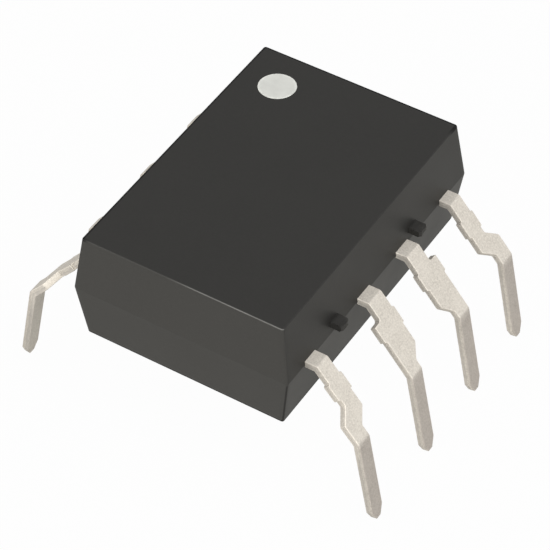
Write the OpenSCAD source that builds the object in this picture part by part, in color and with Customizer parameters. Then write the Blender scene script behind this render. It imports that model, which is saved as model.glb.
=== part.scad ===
// Eight-lead optocoupler in a wide-row dual in-line case.
// X runs across the two rows of leads, Y along them, and Z points up.
// The origin lies under the middle of the case, in the plane of the lead tips.
// Leads are numbered as on the real part: 1 to 4 down the -X side from +Y to -Y,
// then 5 to 8 up the +X side from -Y to +Y.

/* [Case] */
// Length of the case along the rows, at the parting plane
case_length = 9.08; // [8.8:0.02:10]
// Width of the case across the rows, at the parting plane
case_width = 6.48; // [6.1:0.02:6.8]
// Height of the top face above the middle of the lead sheet
case_up = 1.74; // [1.5:0.01:2]
// Depth of the bottom face below the middle of the lead sheet
case_down = 1.69; // [1.5:0.01:2]
// Draft of the two end walls, in degrees
end_draft = 5.8; // [3:0.2:8]
// Draft of the two long walls, in degrees
side_draft = 8.2; // [4:0.2:10]
// Width of the small bevel along every edge of the case
edge_bevel = 0.05; // [0.03:0.01:0.12]
// Width along Y of the resin tabs between the leads
tab_width = 0.36; // [0.2:0.02:0.6]
// Height of the resin tabs' undersides above the middle of the lead sheet
tab_low = 0.2; // [0.1:0.02:0.25]
// Height of the resin tabs' tops above the middle of the lead sheet
tab_high = 0.4; // [0.3:0.02:0.5]
// How far the resin tabs stand out of the long walls
tab_reach = 0.28; // [0.1:0.02:0.35]
// Distance between the two resin tabs of a row
tab_spacing = 3.98; // [3.9:0.02:4.4]
// How far the middle between the two tabs lies from the middle of the case, towards -Y
tab_shift = 0.25; // [0:0.01:0.3]

/* [Index dot] */
// Diameter of the printed dot by lead 1
dot_d = 1.06; // [0.6:0.02:1.4]
// Distance of the dot's centre from the middle of the case, along X
dot_x = 1.83; // [1.5:0.01:2.1]
// Distance of the dot's centre from the middle of the case, along Y
dot_y = 3.12; // [2.5:0.02:3.4]
// Depth of the dimple that holds the dot
dot_sink = 0.04; // [0.02:0.01:0.1]
// How far the dot stands above the top face
dot_proud = 0.01; // [0.01:0.01:0.03]

/* [Lead frame] */
// Thickness of the lead sheet
sheet = 0.2; // [0.15:0.01:0.25]
// Distance from lead to lead along a row
pitch = 2.54; // [2.5:0.01:2.6]
// Distance between the outer faces of the two rows at the lower bend
row_spacing = 10.16; // [9.8:0.02:10.6]
// Flat stretch of each lead between the case and the upper bend
stub_reach = 0.34; // [0.3:0.01:0.6]
// Drop of the sloping stretch, between the two bends
slope_drop = 1.74; // [1.6:0.01:1.9]
// Length of the straight pin below the lower bend
pin_length = 2.74; // [2:0.02:3.4]
// Width of the straight pin
pin_width = 0.49; // [0.4:0.01:0.56]
// Outward splay of the pins from the vertical, in degrees
pin_splay = 11; // [4:1:14]
// Inside radius of every bend outside the case
bend_radius = 0.08; // [0.04:0.01:0.12]
// Width taken off each side of a pin at its tip
tip_narrowing = 0.15; // [0.08:0.01:0.18]
// Length of the narrowed tip
tip_taper = 0.3; // [0.2:0.02:0.5]
// Width of the corner leads where they leave the case
corner_neck = 0.49; // [0.4:0.01:0.56]
// Distance of the corner leads' necks from the middle of the case
corner_neck_y = 3.415; // [3.36:0.01:3.5]
// Width of the middle leads where they leave the case
middle_neck = 0.6; // [0.4:0.01:0.7]
// Distance of the middle leads' necks from the middle of the case
middle_neck_y = 1.0; // [0.92:0.01:1.06]
// Distance down the slope from the upper bend to the cut ends of the dam bar
dam_start = 0.56; // [0.45:0.01:0.65]
// Width of the dam bar that was cut away
dam_width = 0.51; // [0.3:0.01:0.55]
// How far the cut ends of the dam bar stand out of the leads
dam_stub = 0.065; // [0.03:0.005:0.1]
// Length of each jog in a lead's edge, measured down the slope
jog_run = 0.36; // [0.28:0.01:0.38]
// How much sooner a corner lead's outer edge jogs than its inner edge
jog_lead = 0.34; // [0.28:0.01:0.36]
// Distance between the corner leads' jog and the lower bend
corner_jog_gap = 0.33; // [0.26:0.01:0.36]
// Distance between the middle leads' jog and the lower bend
middle_jog_gap = 0.26; // [0.22:0.01:0.34]
// Radius of the inside corners of the stamped outline
stamp_radius = 0.09; // [0.04:0.01:0.12]
// Radius of the outside corners of the stamped outline
burr_radius = 0.03; // [0.01:0.005:0.03]

/* [Inside] */
// Length of the translucent inner moulding, along the rows
guide_length = 7.9; // [7.7:0.1:8.1]
// Width of the translucent inner moulding, across the rows
guide_width = 4.3; // [4.2:0.05:4.5]
// Height of the inner moulding above the middle of the lead sheet
guide_up = 1.1; // [1:0.02:1.2]
// Depth of the inner moulding below the middle of the lead sheet
guide_down = 1.1; // [1:0.02:1.2]
// Rise of the emitter's paddle above the lead sheet
emitter_rise = 0.55; // [0.5:0.01:0.6]
// Drop of the detector's paddle below the lead sheet
detector_drop = 0.65; // [0.6:0.01:0.7]
// Side of the square emitter chip
emitter_size = 0.32; // [0.25:0.01:0.4]
// Thickness of the emitter chip
emitter_thick = 0.18; // [0.12:0.01:0.2]
// Length of the detector chip, along the rows
detector_length = 1.5; // [1.2:0.05:1.7]
// Width of the detector chip, across the rows
detector_width = 1.3; // [1.1:0.05:1.4]
// Thickness of the detector chip
detector_thick = 0.25; // [0.2:0.01:0.3]
// Thickness of the conductive paste under each chip
paste_thick = 0.02; // [0.02:0.005:0.03]
// How far the paste spreads past each chip
paste_spread = 0.05; // [0.02:0.01:0.08]
// Diameter of the clear drop over the emitter chip
gel_d = 0.8; // [0.7:0.02:0.9]
// Height of the clear drop over the emitter chip
gel_height = 0.38; // [0.34:0.01:0.42]
// Diameter of the bond wires
wire_d = 0.03; // [0.02:0.005:0.04]
// Height of the bond wires' loops
wire_loop = 0.2; // [0.12:0.01:0.22]
// Border of the emitter's paddle around the clear drop
drop_border = 0.08; // [0.04:0.01:0.12]
// Border of the detector's paddle around its paste
paste_border = 0.08; // [0.04:0.01:0.12]
// Distance from the edge of a bond post to where its wire lands
landing_inset = 0.15; // [0.1:0.01:0.2]
// Distance from the edges of the detector chip to its bond pads
pad_inset = 0.12; // [0.08:0.01:0.16]
// Length of the emitter's bond post
post_length = 0.42; // [0.3:0.02:0.5]
// Width of the supply's bond post
side_post_width = 0.6; // [0.4:0.02:0.7]
// Gap between neighbouring leads inside the inner moulding
inner_gap = 0.3; // [0.25:0.01:0.34]
// Distance from the inner moulding's wall to the steps in the leads
step_inset = 0.2; // [0.15:0.01:0.25]
// Length of the steps in the leads, across the rows
step_run = 0.4; // [0.34:0.01:0.45]
// Length across the rows of the foot that locks each lead in the case
anchor_length = 0.4; // [0.3:0.02:0.5]
// How far each foot stands out of its lead's neck, on both sides
anchor_reach = 0.15; // [0.1:0.01:0.2]
// Resin between the inner moulding and the feet
anchor_gap = 0.2; // [0.15:0.01:0.3]

/* [Hidden] */

// Flat stretch of sheet that two neighbouring stretches of a lead share
lap = 0.1;
// Steps in each rounded corner and bend
arc_steps = 6;
// Sides of the clear drop, steps down its dome, and sides and rings of a bond wire
drop_sides = 16;
drop_steps = 4;
wire_sides = 8;
wire_rings = 14;

half_sheet = sheet / 2;
half_pin = pin_width / 2;
middle_pin_y = pitch / 2;
corner_pin_y = middle_pin_y + pitch;

// Places of the two outer bends, on the lead's outer face
upper_bend = [case_width / 2 + stub_reach, half_sheet];
lower_bend = [row_spacing / 2, half_sheet - slope_drop];
slope_length = norm(lower_bend - upper_bend);
slope_angle = atan2(slope_drop, lower_bend.x - upper_bend.x);
pin_angle = 90 - pin_splay;
dam_end = dam_start + dam_width;

// The tips' inner edges are the lowest points, and they stand on the board's plane
stand_height = slope_drop - half_sheet + pin_length * cos(pin_splay) + sheet * sin(pin_splay);

// Ends of the steps in the leads, and of the feet, inside the case
step_start = guide_width / 2 - step_inset;
step_end = step_start - step_run;
anchor_start = guide_width / 2 + anchor_gap;

// Levels of the lands and of the chips' active faces
emitter_land = emitter_rise - half_sheet;
detector_land = half_sheet - detector_drop;
emitter_face = emitter_land - paste_thick - emitter_thick;
detector_face = detector_land + paste_thick + detector_thick;

// Paddles and bond posts
emitter_half = gel_d / 2 + drop_border;
detector_half_x = detector_width / 2 + paste_spread + paste_border;
detector_half_y = detector_length / 2 + paste_spread + paste_border;
post_edge = detector_half_x + inner_gap;
side_post_y = detector_half_y + inner_gap;
pad_x = detector_width / 2 - pad_inset;
pad_y = detector_length / 2 - pad_inset;
emitter_pad = emitter_size / 5;

function unit(v) = v / norm(v);
function turn_of(a, b) = a.x * b.y - a.y * b.x;

// The corner p between a and b, as an arc of radius r
function rounded_corner(a, p, b, r) =
    let (
        u = unit(a - p),
        v = unit(b - p),
        half = acos(u * v) / 2,
        centre = p + unit(u + v) * r / sin(half),
        first = p + u * r / tan(half) - centre,
        start = atan2(first.y, first.x),
        sweep = (turn_of(u, v) < 0 ? 1 : -1) * (180 - 2 * half)
    )
    [for (i = [0:arc_steps]) let (angle = start + sweep * i / arc_steps)
        centre + r * [cos(angle), sin(angle)]];

// A closed outline of [x, y, radius] corners, with each corner rounded
function rounded(corners) =
    let (count = len(corners), flat = [for (c = corners) [c.x, c.y]])
    [for (i = [0:count - 1])
        each corners[i].z <= 0
            ? [flat[i]]
            : rounded_corner(flat[(i + count - 1) % count], flat[i], flat[(i + 1) % count], corners[i].z)];

// Unit vector to the right of the way from a to b
function right_of(a, b) = let (u = unit(b - a)) [u.y, -u.x];

// Mitred point of a sheet's lower face, beneath the point i of its upper face
function beneath(path, i) =
    let (
        end = len(path) - 1,
        before = right_of(path[max(i - 1, 0)], path[max(i, 1)]),
        after = right_of(path[min(i, end - 1)], path[min(i + 1, end)])
    )
    path[i] + sheet * (before + after) / (1 + before * after);

// Side outline of a sheet whose upper face follows path, with bends of the given inside radius
function sheet_outline(path, radius) =
    let (end = len(path) - 1)
    rounded(concat(
        [for (i = [0:end]) [path[i].x, path[i].y, radius > 0 && i > 0 && i < end ? radius + sheet : 0]],
        [for (i = [end:-1:0]) let (low = beneath(path, i)) [low.x, low.y, i > 0 && i < end ? radius : 0]]
    ));

// Point at a distance along a direction that falls by angle
function down_from(start, angle, distance) = start + distance * [cos(angle), -sin(angle)];

// Turns an outline in the X-Z plane into a bar along Y, centred on y
module bar_along_y(y, width) {
    translate([0, y + width / 2, 0]) rotate([90, 0, 0]) linear_extrude(width) children();
}

// Rectangle from one corner to the other, with z from bottom to top
module block(low, high) {
    translate(low) cube(high - low);
}

// ---------------------------------------------------------------- case shapes

// Side outline of a moulding that narrows up and down from the parting band
module drafted_outline(half, up, down, draft, bevel) {
    top = half - (up - half_sheet) * tan(draft);
    bottom = half - (down - half_sheet) * tan(draft);
    slant = bevel * tan(draft);
    right = [
        [bottom - bevel, -down], [bottom + slant, bevel - down],
        [half, -half_sheet], [half, half_sheet],
        [top + slant, up - bevel], [top - bevel, up]
    ];
    left = [for (i = [len(right) - 1:-1:0]) [-right[i].x, right[i].y]];
    polygon(concat(right, left));
}

// Drafted block: two pairs of walls, with the upright corners bevelled by two more
module drafted_block(length, width, up, down, bevel) {
    reach = length + width;
    corner_half = (length + width - 2 * bevel) / sqrt(8);
    corner_draft = atan((tan(end_draft) + tan(side_draft)) / sqrt(2));
    intersection() {
        bar_along_y(0, reach) drafted_outline(width / 2, up, down, side_draft, bevel);
        rotate([0, 0, 90]) bar_along_y(0, reach)
            drafted_outline(length / 2, up, down, end_draft, bevel);
        for (turn = [45, -45])
            rotate([0, 0, turn]) bar_along_y(0, reach)
                drafted_outline(corner_half, up, down, corner_draft, 0);
    }
}

module case_block() {
    drafted_block(case_length, case_width, case_up, case_down, edge_bevel);
}

module guide_block() {
    drafted_block(guide_length, guide_width, guide_up, guide_down, edge_bevel);
}

// Resin left between two leads on the +X side: a ledge just above the parting band
module resin_tab(y) {
    wall = case_width / 2;
    block([wall - tab_reach, y - tab_width / 2, tab_low], [wall + tab_reach, y + tab_width / 2, tab_high]);
}

module all_tabs() {
    for (side = [0, 1]) mirror([side, 0, 0])
        for (end = [-1, 1]) resin_tab(end * tab_spacing / 2 - tab_shift);
}

// ---------------------------------------------------------------- lead shapes, for the +X side and +Y half

// Lays a flat X-Y outline on a stretch of sheet that starts at a bend and falls by angle
module on_sheet(bend, angle) {
    translate([bend.x, 0, bend.y]) rotate([0, angle, 0])
        translate([0, 0, -sheet]) linear_extrude(sheet) children();
}

// Side outline of the flat neck, from the given x to a little past the upper bend
module neck_outline(from_x) {
    polygon(sheet_outline([
        [from_x, half_sheet], upper_bend,
        down_from(upper_bend, slope_angle, dam_start - lap)
    ], bend_radius));
}

// Side outline of the lower bend, with a little of the slope above it and of the pin below it
module lower_bend_outline() {
    polygon(sheet_outline([
        down_from(lower_bend, slope_angle, -2 * lap), lower_bend,
        down_from(lower_bend, pin_angle, 2 * lap)
    ], bend_radius));
}

// Flat outline of a pin from just below the lower bend to its tip
module pin_outline(y) {
    tip_half = half_pin - tip_narrowing;
    polygon(rounded([
        [lap, y - half_pin, 0], [lap, y + half_pin, 0],
        [pin_length - tip_taper, y + half_pin, burr_radius],
        [pin_length, y + tip_half, burr_radius], [pin_length, y - tip_half, burr_radius],
        [pin_length - tip_taper, y - half_pin, burr_radius]
    ]));
}

// Flat outline of a middle lead's slope: a one-sided shoulder, then a taper to the pin
module middle_slope_outline() {
    inner = middle_neck_y - middle_neck / 2;
    outer = middle_neck_y + middle_neck / 2;
    pin_inner = middle_pin_y - half_pin;
    pin_outer = middle_pin_y + half_pin;
    jog_end = slope_length - middle_jog_gap;
    polygon(rounded([
        [dam_start - 2 * lap, inner, 0],
        [dam_start, inner, burr_radius], [dam_start, inner - dam_stub, burr_radius],
        [dam_end, inner - dam_stub, burr_radius], [dam_end, inner, burr_radius],
        [jog_end - jog_run, inner, stamp_radius], [jog_end, pin_inner, stamp_radius],
        [slope_length - lap, pin_inner, 0], [slope_length - lap, pin_outer, 0],
        [dam_end, pin_outer, burr_radius], [dam_end, pin_outer + dam_stub, burr_radius],
        [dam_start, pin_outer + dam_stub, burr_radius], [dam_start, outer, stamp_radius],
        [dam_start - 2 * lap, outer, 0]
    ]));
}

// Flat outline of a corner lead's slope: one width all the way, with a jog out to the pin
module corner_slope_outline() {
    inner = corner_neck_y - corner_neck / 2;
    outer = corner_neck_y + corner_neck / 2;
    pin_inner = corner_pin_y - half_pin;
    pin_outer = corner_pin_y + half_pin;
    jog_end = slope_length - corner_jog_gap;
    outer_end = jog_end - jog_lead;
    polygon(rounded([
        [dam_start - 2 * lap, inner, 0],
        [dam_start, inner, burr_radius], [dam_start, inner - dam_stub, burr_radius],
        [dam_end, inner - dam_stub, burr_radius], [dam_end, inner, burr_radius],
        [jog_end - jog_run, inner, stamp_radius], [jog_end, pin_inner, stamp_radius],
        [slope_length - lap, pin_inner, 0], [slope_length - lap, pin_outer, 0],
        [outer_end, pin_outer, stamp_radius], [outer_end - jog_run, outer, stamp_radius],
        [dam_end, outer, burr_radius], [dam_end, outer + dam_stub, burr_radius],
        [dam_start, outer + dam_stub, burr_radius], [dam_start, outer, burr_radius],
        [dam_start - 2 * lap, outer, 0]
    ]));
}

module lower_lead(y) {
    bar_along_y(y, pin_width) lower_bend_outline();
    on_sheet(lower_bend, pin_angle) pin_outline(y);
}

// Formed part of a middle lead, from inside the case wall to the pin's tip
module middle_lead_form(from_x) {
    bar_along_y(middle_neck_y, middle_neck) neck_outline(from_x);
    on_sheet(upper_bend, slope_angle) middle_slope_outline();
    lower_lead(middle_pin_y);
    foot(middle_neck_y, middle_neck);
}

// Formed part of a corner lead, from inside the case wall to the pin's tip
module corner_lead_form(from_x) {
    bar_along_y(corner_neck_y, corner_neck) neck_outline(from_x);
    on_sheet(upper_bend, slope_angle) corner_slope_outline();
    lower_lead(corner_pin_y);
    foot(corner_neck_y, corner_neck);
}

// Wide foot that locks a lead in the case wall
module foot(y, neck) {
    half = neck / 2 + anchor_reach;
    block([anchor_start, y - half, -half_sheet], [anchor_start + anchor_length, y + half, half_sheet]);
}

// Step from the sheet's own level to a level offset by rise, nearer the middle of the case
module step(y, neck, rise) {
    bar_along_y(y, neck) polygon(sheet_outline([
        [step_end - lap, half_sheet + rise], [step_end, half_sheet + rise],
        [step_start, half_sheet], [step_start + lap, half_sheet]
    ], 0));
}

// Flat land at a level offset by rise from the sheet's own level
module land(rise, low, high) {
    block([low.x, low.y, rise - half_sheet], [high.x, high.y, rise + half_sheet]);
}

// Puts a shape made for the +X side and +Y half where the lead of that number is
module at_lead(number) {
    mirror([number <= 4 ? 1 : 0, 0, 0])
        mirror([0, number >= 3 && number <= 6 ? 1 : 0, 0]) children();
}

// Leads 1 and 4: no connection inside
module spare_lead(number) {
    at_lead(number) corner_lead_form(anchor_start);
}

// Lead 2: post for the emitter's bond wire
module anode_lead() {
    at_lead(2) {
        middle_lead_form(step_start);
        step(middle_neck_y, middle_neck, emitter_rise);
        land(emitter_rise, [step_end - post_length, middle_neck_y - middle_neck / 2],
            [step_end, middle_neck_y + middle_neck / 2]);
    }
}

// Lead 3: paddle that carries the emitter chip face down
module cathode_lead() {
    at_lead(3) {
        middle_lead_form(step_start);
        step(middle_neck_y, middle_neck, emitter_rise);
        land(emitter_rise, [-emitter_half, -emitter_half],
            [step_end, middle_neck_y - middle_neck / 2 + lap]);
        land(emitter_rise, [emitter_half, middle_neck_y - middle_neck / 2],
            [step_end, middle_neck_y + middle_neck / 2]);
    }
}

// Lead 5: paddle that carries the detector chip face up
module ground_lead() {
    at_lead(5) {
        corner_lead_form(step_start);
        step(corner_neck_y, corner_neck, -detector_drop);
        land(-detector_drop, [-detector_half_x, -detector_half_y], [detector_half_x, detector_half_y]);
        land(-detector_drop, [-detector_half_x, detector_half_y - lap],
            [detector_half_x - inner_gap, corner_neck_y + corner_neck / 2]);
        land(-detector_drop, [-detector_half_x, corner_neck_y - corner_neck / 2],
            [step_end, corner_neck_y + corner_neck / 2]);
    }
}

// Leads 6 and 7: posts for the bond wires of the enable and the output
module post_lead(number) {
    at_lead(number) {
        middle_lead_form(step_start);
        step(middle_neck_y, middle_neck, -detector_drop);
        land(-detector_drop, [post_edge, middle_neck_y - middle_neck / 2],
            [step_end, middle_neck_y + middle_neck / 2]);
    }
}

// Lead 8: post for the supply, beside the detector chip
module supply_lead() {
    at_lead(8) {
        corner_lead_form(step_start);
        step(corner_neck_y, corner_neck, -detector_drop);
        land(-detector_drop, [0, corner_neck_y - corner_neck / 2],
            [step_end, corner_neck_y + corner_neck / 2]);
        land(-detector_drop, [0, side_post_y], [side_post_width, corner_neck_y]);
    }
}

module all_leads() {
    spare_lead(1);
    anode_lead();
    cathode_lead();
    spare_lead(4);
    ground_lead();
    post_lead(6);
    post_lead(7);
    supply_lead();
}

// ---------------------------------------------------------------- chips and wires

module emitter_die() {
    block([-emitter_size / 2, -emitter_size / 2, emitter_face],
        [emitter_size / 2, emitter_size / 2, emitter_face + emitter_thick]);
}

module emitter_attach() {
    half = emitter_size / 2 + paste_spread;
    block([-half, -half, emitter_land - paste_thick], [half, half, emitter_land]);
}

module detector_die() {
    block([-detector_width / 2, -detector_length / 2, detector_face - detector_thick],
        [detector_width / 2, detector_length / 2, detector_face]);
}

module detector_attach() {
    x = detector_width / 2 + paste_spread;
    y = detector_length / 2 + paste_spread;
    block([-x, -y, detector_land], [x, y, detector_land + paste_thick]);
}

// Domed drop that hangs from the emitter's paddle, with flat sides
module gel_drop() {
    dome = [for (i = [0:drop_steps]) let (a = 90 * i / drop_steps)
        [gel_d / 2 * cos(a), -gel_height * sin(a)]];
    translate([0, 0, emitter_land])
        for (i = [0:drop_steps - 1])
            translate([0, 0, dome[i + 1].y])
                cylinder(h = dome[i].y - dome[i + 1].y, r1 = dome[i + 1].x, r2 = dome[i].x, $fn = drop_sides);
}

// Bond wire as a tube with flat sides that leaves and meets its two lands upright
module bond_wire(from, to, loop) {
    run = [to.x - from.x, to.y - from.y, 0];
    along = unit(run);
    side = [-along.y, along.x, 0];
    path = [for (i = [0:wire_rings]) let (t = i / wire_rings)
        from + run * (1 - cos(180 * t)) / 2
            + [0, 0, (to.z - from.z) * (1 - cos(180 * t)) / 2 + loop * sin(180 * t)]];
    slopes = [for (i = [0:wire_rings]) let (t = i / wire_rings)
        unit([norm(run) * sin(180 * t) / 2, (to.z - from.z) * sin(180 * t) / 2 + loop * cos(180 * t)])];
    points = [for (i = [0:wire_rings], k = [0:wire_sides - 1])
        let (a = 360 * k / wire_sides, normal = -slopes[i].y * along + slopes[i].x * [0, 0, 1])
        path[i] + wire_d / 2 * (cos(a) * normal + sin(a) * side)];
    first = [for (k = [0:wire_sides - 1]) k];
    last = [for (k = [wire_sides - 1:-1:0]) wire_rings * wire_sides + k];
    walls = [for (i = [0:wire_rings - 1], k = [0:wire_sides - 1])
        let (a = i * wire_sides + k, b = i * wire_sides + (k + 1) % wire_sides)
        each [[a, a + wire_sides, b + wire_sides], [a, b + wire_sides, b]]];
    polyhedron(points, concat([first], [last], walls));
}

module emitter_bond() {
    bond_wire([-emitter_pad, emitter_pad, emitter_face],
        [landing_inset - step_end, middle_neck_y, emitter_land], -wire_loop);
}

// Wire from a pad of the detector chip to a land of the lead frame
module detector_bond(from, to) {
    bond_wire([from.x, from.y, detector_face], [to.x, to.y, detector_land], wire_loop);
}

module ground_bond() {
    detector_bond([-side_post_width / 2, -pad_y], [-side_post_width / 2, -side_post_y - landing_inset]);
}

module enable_bond() {
    detector_bond([pad_x, -pad_y / 2], [post_edge + landing_inset, -middle_neck_y]);
}

module output_bond() {
    detector_bond([pad_x, pad_y / 2], [post_edge + landing_inset, middle_neck_y]);
}

module supply_bond() {
    detector_bond([side_post_width / 2, pad_y], [side_post_width / 2, side_post_y + landing_inset]);
}

module all_bonds() {
    emitter_bond();
    ground_bond();
    enable_bond();
    output_bond();
    supply_bond();
}

module dot_disc(extra) {
    translate([-dot_x, dot_y, case_up - dot_sink]) cylinder(d = dot_d, h = dot_sink + extra, $fn = 64);
}

// ---------------------------------------------------------------- pieces, lifted to stand on the tips

module stand() {
    translate([0, 0, stand_height]) children();
}

module outer_case() {
    color([0.18, 0.18, 0.17]) stand() difference() {
        union() {
            case_block();
            all_tabs();
        }
        guide_block();
        all_leads();
        dot_disc(1);
    }
}

module index_dot() {
    color([0.84, 0.84, 0.82]) stand() dot_disc(dot_proud);
}

module light_guide() {
    color([0.93, 0.91, 0.86, 0.7]) stand() difference() {
        guide_block();
        all_leads();
        gel_drop();
        emitter_attach();
        detector_die();
        detector_attach();
        all_bonds();
    }
}

module emitter_gel() {
    color([0.85, 0.9, 0.95, 0.5]) stand() difference() {
        gel_drop();
        emitter_die();
        emitter_attach();
        emitter_bond();
    }
}

module tinned() {
    color([0.79, 0.77, 0.73]) stand() children();
}

module gold() {
    color([0.85, 0.66, 0.25]) stand() children();
}

module pasted() {
    color([0.62, 0.62, 0.6]) stand() children();
}

module lead_1() { tinned() spare_lead(1); }
module lead_2() { tinned() anode_lead(); }
module lead_3() { tinned() cathode_lead(); }
module lead_4() { tinned() spare_lead(4); }
module lead_5() { tinned() ground_lead(); }
module lead_6() { tinned() post_lead(6); }
module lead_7() { tinned() post_lead(7); }
module lead_8() { tinned() supply_lead(); }
module emitter_chip() { color([0.5, 0.25, 0.2]) stand() emitter_die(); }
module detector_chip() { color([0.28, 0.3, 0.42]) stand() detector_die(); }
module emitter_paste() { pasted() emitter_attach(); }
module detector_paste() { pasted() detector_attach(); }
module emitter_wire() { gold() emitter_bond(); }
module ground_wire() { gold() ground_bond(); }
module enable_wire() { gold() enable_bond(); }
module output_wire() { gold() output_bond(); }
module supply_wire() { gold() supply_bond(); }

outer_case();
index_dot();
light_guide();
lead_1();
lead_2();
lead_3();
lead_4();
lead_5();
lead_6();
lead_7();
lead_8();
emitter_chip();
emitter_paste();
emitter_gel();
emitter_wire();
detector_chip();
detector_paste();
ground_wire();
enable_wire();
output_wire();
supply_wire();
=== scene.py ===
import math

import bmesh
import bpy
from bpy.props import FloatProperty, FloatVectorProperty, PointerProperty
from mathutils import Matrix, Vector, noise


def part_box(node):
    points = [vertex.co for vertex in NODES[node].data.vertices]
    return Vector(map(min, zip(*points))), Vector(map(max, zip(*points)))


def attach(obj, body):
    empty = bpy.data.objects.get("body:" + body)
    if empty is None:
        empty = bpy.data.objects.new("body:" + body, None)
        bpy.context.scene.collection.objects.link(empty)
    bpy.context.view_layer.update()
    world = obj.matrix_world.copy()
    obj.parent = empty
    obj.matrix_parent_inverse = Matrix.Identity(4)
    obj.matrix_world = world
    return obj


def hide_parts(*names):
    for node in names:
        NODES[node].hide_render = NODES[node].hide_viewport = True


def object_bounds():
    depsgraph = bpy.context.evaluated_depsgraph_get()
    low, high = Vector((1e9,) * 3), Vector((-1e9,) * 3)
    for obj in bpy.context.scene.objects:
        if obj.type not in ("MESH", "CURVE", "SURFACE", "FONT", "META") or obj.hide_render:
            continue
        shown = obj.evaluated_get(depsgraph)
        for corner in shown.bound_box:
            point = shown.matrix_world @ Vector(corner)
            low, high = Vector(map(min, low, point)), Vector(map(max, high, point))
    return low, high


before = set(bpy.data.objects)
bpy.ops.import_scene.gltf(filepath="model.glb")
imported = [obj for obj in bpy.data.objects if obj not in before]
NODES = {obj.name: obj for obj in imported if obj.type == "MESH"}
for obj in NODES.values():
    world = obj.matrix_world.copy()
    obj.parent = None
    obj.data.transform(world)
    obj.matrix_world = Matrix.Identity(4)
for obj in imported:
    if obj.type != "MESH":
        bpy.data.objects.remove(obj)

bl_info = {
    "name": "Optocoupler dressing",
    "version": (1, 0, 0),
    "blender": (4, 5, 0),
    "location": "3D View > Sidebar > Coupler",
    "description": "Dresses the packed optocoupler with moulded, stamped and plated detail",
    "category": "Object",
}

CAD_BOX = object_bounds()
LEADS = [f"lead_{number}" for number in range(1, 9)]
CASE_LOW, CASE_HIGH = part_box("outer_case")
GUIDE_LOW, GUIDE_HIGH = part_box("light_guide")
DOT_LOW, DOT_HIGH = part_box("index_dot")
DOT_RADIUS = (DOT_HIGH.x - DOT_LOW.x) / 2
DOT_SIDES = 96
# The upper face of the lead sheet, where an unconnected lead is highest
SHEET_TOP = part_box("lead_1")[1].z
MM = 0.001
# Points closer than this, in metres, count as one where a mesh is cut across
TOUCH = 1e-9
# Number of short steps in each rounded corner of an outline
ARC_STEPS = 6
# Seed of the uneven breaks on the resin tabs
TAB_SEED = 2


# ------------------------ sizes and colours a user can change

def length(name, default, text):
    """A size, given in millimetres and kept in metres."""
    return FloatProperty(
        name=name, description=text, default=default * MM, min=0.0, precision=5,
        unit="LENGTH", subtype="DISTANCE",
    )


def one_per_lead(name, defaults, text):
    """Eight distances, from lead 1 to lead 8, given in millimetres and kept in metres."""
    return FloatVectorProperty(
        name=name, description=text + ", from lead 1 to lead 8", default=[v * MM for v in defaults],
        size=8, precision=5, unit="LENGTH", subtype="NONE",
    )


def slant(name, degrees, text):
    """An angle, given in degrees and kept in radians."""
    return FloatProperty(
        name=name, description=text, default=math.radians(degrees), subtype="ANGLE", unit="ROTATION"
    )


def share(name, default, text, low, high):
    """A plain number between two limits."""
    return FloatProperty(name=name, description=text, default=default, min=low, max=high)


def colour(name, default, text):
    """A linear colour."""
    return FloatVectorProperty(
        name=name, description=text, default=default, size=3, min=0.0, max=1.0, subtype="COLOR"
    )


class CouplerSheet(bpy.types.PropertyGroup):
    """Sizes of the lead sheet and of the formed leads."""

    thickness: length("Thickness", 0.2, "Thickness of the lead sheet")
    upper_bend: length("Upper bend", 3.58, "Distance of the upper bend from the middle of the case")
    lower_bend: length("Lower bend", 5.08, "Distance of the lower bend from the middle of the case")
    slope_drop: length("Slope drop", 1.74, "Drop between the two bends")
    bend_radius: length("Bend radius", 0.09, "Outside radius of both bends, which are coined inside")
    pin_length: length("Pin length", 2.74, "Length of the pin below the lower bend")
    pin_width: length("Pin width", 0.49, "Width of the pin")
    pin_splay: slant("Pin splay", 11.0, "Outward splay of the pins")
    tip_narrowing: length("Tip narrowing", 0.15, "Width taken off each side of the tip")
    tip_taper: length("Tip taper", 0.3, "Length of the narrowed tip")
    pitch: length("Pitch", 2.54, "Distance from pin to pin along a row")
    middle_neck: length("Middle neck", 0.6, "Width of a middle lead at the case")
    middle_neck_y: length("Middle neck place", 1.0, "Place of a middle lead at the case")
    corner_neck: length("Corner neck", 0.49, "Width of a corner lead at the case")
    corner_neck_y: length("Corner neck place", 3.415, "Place of a corner lead at the case")
    dam_start: length("Dam start", 0.56, "Distance from the upper bend to the cut dam bar")
    dam_width: length("Dam width", 0.51, "Width of the dam bar that was cut away")
    dam_stub: length("Dam stub", 0.065, "How far the cut ends of the dam bar stand out")
    jog_run: length("Jog run", 0.36, "Length of each jog in a lead's edge")
    jog_lead: length("Jog lead", 0.34, "How much sooner the outer edge jogs")
    corner_jog_gap: length("Corner jog gap", 0.33, "Distance from the corner jog to the bend")
    middle_jog_gap: length("Middle jog gap", 0.26, "Distance from the middle jog to the bend")
    stamp_radius: length("Stamp radius", 0.09, "Radius of the stamped inside corners")
    burr_radius: length("Burr radius", 0.03, "Radius of the stamped outside corners")
    rollover: length("Rollover", 0.018, "Rounding along the edges of the outer face")
    seam: length("Seam", 3.0, "Where the formed part starts, inside the case wall")
    neck_set: one_per_lead("Neck set", (0.02, 0.14, 0.17, 0.03, -0.04, 0.173, 0.134, -0.046),
                           "How far a lead lies towards the dot's end at the case")
    pin_set: one_per_lead("Pin set", (0.04, 0.2, 0.23, 0.0, -0.025, 0.135, 0.108, -0.07),
                          "How far a pin is knocked towards the dot's end")
    spread: one_per_lead("Spread", (0.045, 0.045, 0.045, 0.03, 0.022, 0.0, 0.0, 0.0),
                         "How far a lead's slope is spread away from the case")


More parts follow.
